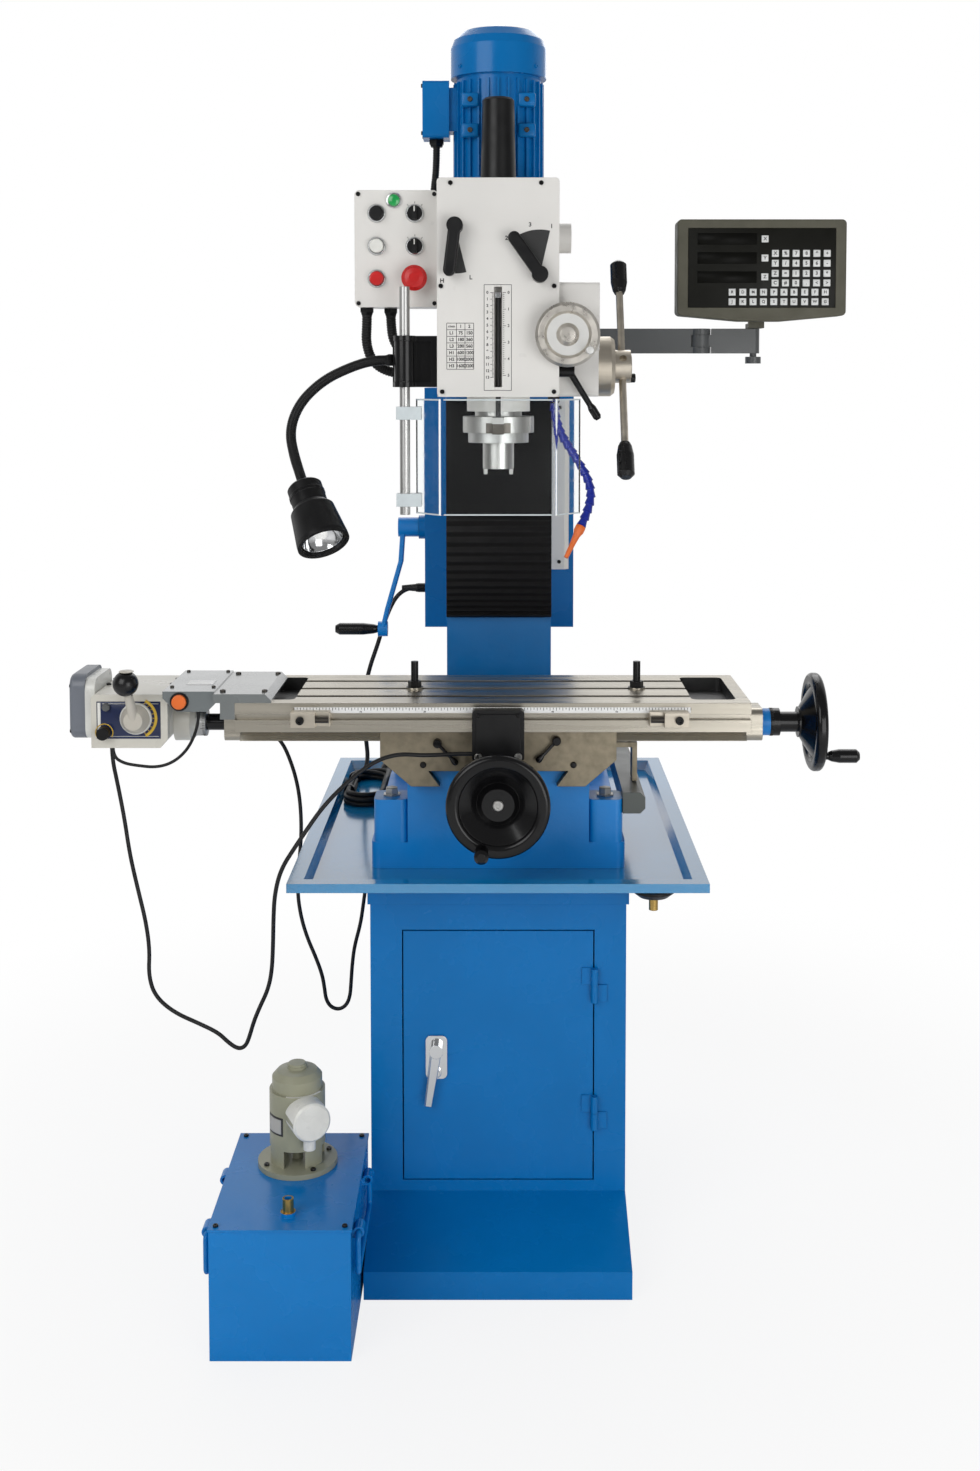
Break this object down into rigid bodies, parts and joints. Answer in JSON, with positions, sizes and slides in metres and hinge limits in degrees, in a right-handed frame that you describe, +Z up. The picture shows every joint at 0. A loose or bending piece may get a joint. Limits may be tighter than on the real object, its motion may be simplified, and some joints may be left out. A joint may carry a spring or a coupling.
{
  "type": "mill drill",
  "caption": "Geared-head milling and drilling machine on a cabinet stand, with a cross table, power feed, tilting head, quill, guard, digital readout and a separate coolant tank.",
  "frame": {"origin": "on the floor, at the middle of the stand's bottom plate", "axes": "+X to the operator's right, +Y away from the operator, +Z up"},
  "size_m": [1.295, 1.0415, 1.958],
  "materials": {
    "cabinet_shell": "gloss",
    "tray": "gloss",
    "base_casting": "gloss paint",
    "column": "gloss paint",
    "electrical_box": "gloss",
    "readout_bracket": "satin",
    "coolant_tank": "gloss",
    "coolant_pump": "satin paint",
    "mains_cable": "matte",
    "tray_coil": "matte",
    "feed_supply_cord": "matte",
    "elevating_screw": "oiled",
    "elevating_crank": "gloss, black grip",
    "cabinet_door": "gloss",
    "lock_handle": "polished",
    "head_carriage": "gloss paint",
    "column_bellows": "matte",
    "head_housing": "gloss paint",
    "front_plate": "satin paint",
    "motor": "gloss paint",
    "drawbar_cap": "satin",
    "control_box": "satin",
    "guard_bracket": "satin paint",
    "work_lamp": "satin",
    "coolant_hose": "gloss",
    "control_conduits": "ribbed",
    "quill": "ground",
    "spindle": "ground",
    "downfeed_hub": "bright, black grips",
    "fine_feed_wheel": "gloss",
    "quill_lock": "satin",
    "range_lever": "satin",
    "speed_lever": "satin",
    "black_button": "gloss",
    "white_button": "gloss",
    "stop_button": "gloss",
    "emergency_stop": "gloss",
    "upper_selector": "satin",
    "lower_selector": "satin",
    "guard_barrel": "satin paint",
    "guard_rod": "satin",
    "guard_screen": "clear",
    "saddle": "machined",
    "limit_switch": "satin",
    "feed_cord": "matte",
    "cross_handwheel": "gloss paint, bright dial",
    "table": "ground",
    "feed_housing": "gloss paint",
    "switch_box": "satin paint",
    "feed_loop": "matte",
    "table_handwheel": "gloss paint, bright dials",
    "left_stop": "machined",
    "right_stop": "machined",
    "feed_lever": "satin",
    "feed_knob": "satin",
    "switch_button": "gloss",
    "readout_arm": "satin",
    "readout_panel": "satin",
    "left_bail": "gloss",
    "right_bail": "gloss"
  },
  "bodies": {
    "stand": {"cabinet_shell": "cabinet_shell", "tray": "tray", "base_casting": "base_casting", "column": "column", "electrical_box": "electrical_box", "readout_bracket": "readout_bracket", "coolant_tank": "coolant_tank", "coolant_pump": "coolant_pump", "mains_cable": "mains_cable", "tray_coil": "tray_coil", "feed_supply_cord": "feed_supply_cord"},
    "carriage": {"head_carriage": "head_carriage", "column_bellows": "column_bellows"},
    "head": {"head_housing": "head_housing", "front_plate": "front_plate", "motor": "motor", "drawbar_cap": "drawbar_cap", "control_box": "control_box", "guard_bracket": "guard_bracket", "work_lamp": "work_lamp", "coolant_hose": "coolant_hose", "control_conduits": "control_conduits"},
    "guard": {"guard_rod": "guard_rod", "guard_screen": "guard_screen"},
    "saddle": {"saddle": "saddle", "limit_switch": "limit_switch", "feed_cord": "feed_cord"},
    "table": {"table": "table", "feed_housing": "feed_housing", "switch_box": "switch_box", "feed_loop": "feed_loop"},
    "door": {"cabinet_door": "cabinet_door"},
    "elevating_screw": {"elevating_screw": "elevating_screw"},
    "elevating_crank": {"elevating_crank": "elevating_crank"},
    "lock_handle": {"lock_handle": "lock_handle"},
    "quill": {"quill": "quill"},
    "spindle": {"spindle": "spindle"},
    "downfeed_hub": {"downfeed_hub": "downfeed_hub"},
    "fine_feed_wheel": {"fine_feed_wheel": "fine_feed_wheel"},
    "quill_lock": {"quill_lock": "quill_lock"},
    "range_lever": {"range_lever": "range_lever"},
    "speed_lever": {"speed_lever": "speed_lever"},
    "black_button": {"black_button": "black_button"},
    "white_button": {"white_button": "white_button"},
    "stop_button": {"stop_button": "stop_button"},
    "emergency_stop": {"emergency_stop": "emergency_stop"},
    "upper_selector": {"upper_selector": "upper_selector"},
    "lower_selector": {"lower_selector": "lower_selector"},
    "guard_barrel": {"guard_barrel": "guard_barrel"},
    "cross_handwheel": {"cross_handwheel": "cross_handwheel"},
    "table_handwheel": {"table_handwheel": "table_handwheel"},
    "left_stop": {"left_stop": "left_stop"},
    "right_stop": {"right_stop": "right_stop"},
    "feed_lever": {"feed_lever": "feed_lever"},
    "feed_knob": {"feed_knob": "feed_knob"},
    "switch_button": {"switch_button": "switch_button"},
    "readout_arm": {"readout_arm": "readout_arm"},
    "readout_panel": {"readout_panel": "readout_panel"},
    "left_bail": {"left_bail": "left_bail"},
    "right_bail": {"right_bail": "right_bail"}
  },
  "joints": [
    {"name": "door_hinge", "type": "hinge", "parent": "stand", "child": "door", "pos_m": [0.152, -0.201, 0.311], "axis": [0, 0, 1], "range_deg": [0, 110]},
    {"name": "lock_turn", "type": "hinge", "parent": "door", "child": "lock_handle", "pos_m": [-0.098, -0.205, 0.323], "axis": [0, 1, 0], "range_deg": [0, 90]},
    {"name": "head_slide", "type": "slide", "parent": "stand", "child": "carriage", "axis": [0, 0, 1], "range_m": [-0.105, 0.145], "deforming": ["column_bellows"]},
    {"name": "elevating_crank_turn", "type": "hinge", "parent": "stand", "child": "elevating_crank", "pos_m": [-0.17, 0.322, 1.105], "axis": [1, 0, 0], "continuous": true},
    {"name": "elevating_screw_turn", "type": "hinge", "parent": "stand", "child": "elevating_screw", "pos_m": [0, 0.188, 1.2], "axis": [0, 0, 1], "continuous": true},
    {"name": "head_tilt", "type": "hinge", "parent": "carriage", "child": "head", "pos_m": [0, 0.1, 1.52], "axis": [0, 1, 0], "range_deg": [-45, 45]},
    {"name": "quill_feed", "type": "slide", "parent": "head", "child": "quill", "axis": [0, 0, -1], "range_m": [0, 0.13], "stiffness_N_per_m": 2200, "springref_m": -0.12},
    {"name": "downfeed_turn", "type": "hinge", "parent": "head", "child": "downfeed_hub", "pos_m": [0.18, -0.036, 1.402], "axis": [1, 0, 0], "range_deg": [0, 340]},
    {"name": "spindle_spin", "type": "hinge", "parent": "quill", "child": "spindle", "pos_m": [0, -0.095, 1.26], "axis": [0, 0, 1], "continuous": true},
    {"name": "fine_feed_turn", "type": "hinge", "parent": "head", "child": "fine_feed_wheel", "pos_m": [0.106, -0.23, 1.449], "axis": [0, 1, 0], "continuous": true},
    {"name": "quill_lock_turn", "type": "hinge", "parent": "head", "child": "quill_lock", "pos_m": [0.1, -0.182, 1.394], "axis": [1, 0, 0], "range_deg": [-60, 10]},
    {"name": "range_lever_turn", "type": "hinge", "parent": "head", "child": "range_lever", "pos_m": [-0.066, -0.22, 1.615], "axis": [0, 1, 0], "range_deg": [-18, 18]},
    {"name": "speed_lever_turn", "type": "hinge", "parent": "head", "child": "speed_lever", "pos_m": [0.064, -0.22, 1.541], "axis": [0, 1, 0], "range_deg": [0, 46]},
    {"name": "black_button_push", "type": "slide", "parent": "head", "child": "black_button", "axis": [0, 1, 0], "range_m": [0, 0.004], "stiffness_N_per_m": 400, "springref_m": -0.002},
    {"name": "white_button_push", "type": "slide", "parent": "head", "child": "white_button", "axis": [0, 1, 0], "range_m": [0, 0.004], "stiffness_N_per_m": 400, "springref_m": -0.002},
    {"name": "stop_button_push", "type": "slide", "parent": "head", "child": "stop_button", "axis": [0, 1, 0], "range_m": [0, 0.004], "stiffness_N_per_m": 400, "springref_m": -0.002},
    {"name": "emergency_stop_push", "type": "slide", "parent": "head", "child": "emergency_stop", "axis": [0, 1, 0], "range_m": [0, 0.006], "stiffness_N_per_m": 400, "springref_m": -0.002},
    {"name": "upper_selector_turn", "type": "hinge", "parent": "head", "child": "upper_selector", "pos_m": [-0.1305, -0.16, 1.64], "axis": [0, 1, 0], "range_deg": [-45, 45]},
    {"name": "lower_selector_turn", "type": "hinge", "parent": "head", "child": "lower_selector", "pos_m": [-0.1305, -0.16, 1.589], "axis": [0, 1, 0], "range_deg": [-45, 45]},
    {"name": "guard_swing", "type": "hinge", "parent": "head", "child": "guard_barrel", "pos_m": [-0.144, -0.202, 1.41], "axis": [0, 0, -1], "range_deg": [0, 110]},
    {"name": "guard_height", "type": "slide", "parent": "guard_barrel", "child": "guard", "axis": [0, 0, 1], "range_m": [-0.07, 0]},
    {"name": "saddle_slide", "type": "slide", "parent": "stand", "child": "saddle", "axis": [0, 1, 0], "range_m": [-0.085, 0.09], "deforming": ["feed_supply_cord"]},
    {"name": "cross_turn", "type": "hinge", "parent": "saddle", "child": "cross_handwheel", "pos_m": [0, -0.25, 0.733], "axis": [0, 1, 0], "continuous": true},
    {"name": "table_slide", "type": "slide", "parent": "saddle", "child": "table", "axis": [1, 0, 0], "range_m": [-0.195, 0.215], "deforming": ["feed_cord", "feed_supply_cord"]},
    {"name": "table_turn", "type": "hinge", "parent": "table", "child": "table_handwheel", "pos_m": [0.5, -0.077, 0.821], "axis": [1, 0, 0], "continuous": true},
    {"name": "left_stop_slide", "type": "slide", "parent": "table", "child": "left_stop", "axis": [-1, 0, 0], "range_m": [-0.1, 0.05]},
    {"name": "right_stop_slide", "type": "slide", "parent": "table", "child": "right_stop", "axis": [-1, 0, 0], "range_m": [-0.04, 0.1]},
    {"name": "feed_lever_turn", "type": "hinge", "parent": "table", "child": "feed_lever", "pos_m": [-0.577, -0.16, 0.842], "axis": [0, 1, 0], "range_deg": [-25, 25]},
    {"name": "feed_knob_turn", "type": "hinge", "parent": "table", "child": "feed_knob", "pos_m": [-0.628, -0.157, 0.819], "axis": [0, 1, 0], "range_deg": [0, 270]},
    {"name": "switch_button_push", "type": "slide", "parent": "table", "child": "switch_button", "axis": [0, 1, 0], "range_m": [0, 0.004], "stiffness_N_per_m": 400, "springref_m": -0.002},
    {"name": "readout_arm_turn", "type": "hinge", "parent": "stand", "child": "readout_arm", "pos_m": [0.36, 0.211, 1.449], "axis": [0, 0, 1], "range_deg": [-45, 45]},
    {"name": "readout_panel_turn", "type": "hinge", "parent": "readout_arm", "child": "readout_panel", "pos_m": [0.455, 0.211, 1.475], "axis": [0, 0, 1], "range_deg": [-60, 60]},
    {"name": "left_bail_turn", "type": "hinge", "parent": "stand", "child": "left_bail", "pos_m": [-0.414, -0.38, 0.168], "axis": [0, 1, 0], "range_deg": [0, 100]},
    {"name": "right_bail_turn", "type": "hinge", "parent": "stand", "child": "right_bail", "pos_m": [-0.198, -0.38, 0.168], "axis": [0, -1, 0], "range_deg": [0, 90]}
  ],
  "couplings": [
    {"joint": "elevating_crank_turn", "follows": "head_slide", "rad_per_m": 1256.6},
    {"joint": "elevating_screw_turn", "follows": "head_slide", "rad_per_m": 1256.6},
    {"joint": "downfeed_turn", "follows": "quill_feed", "rad_per_m": 45.455},
    {"joint": "cross_turn", "follows": "saddle_slide", "rad_per_m": 1256.6},
    {"joint": "table_turn", "follows": "table_slide", "rad_per_m": 1256.6}
  ]
}
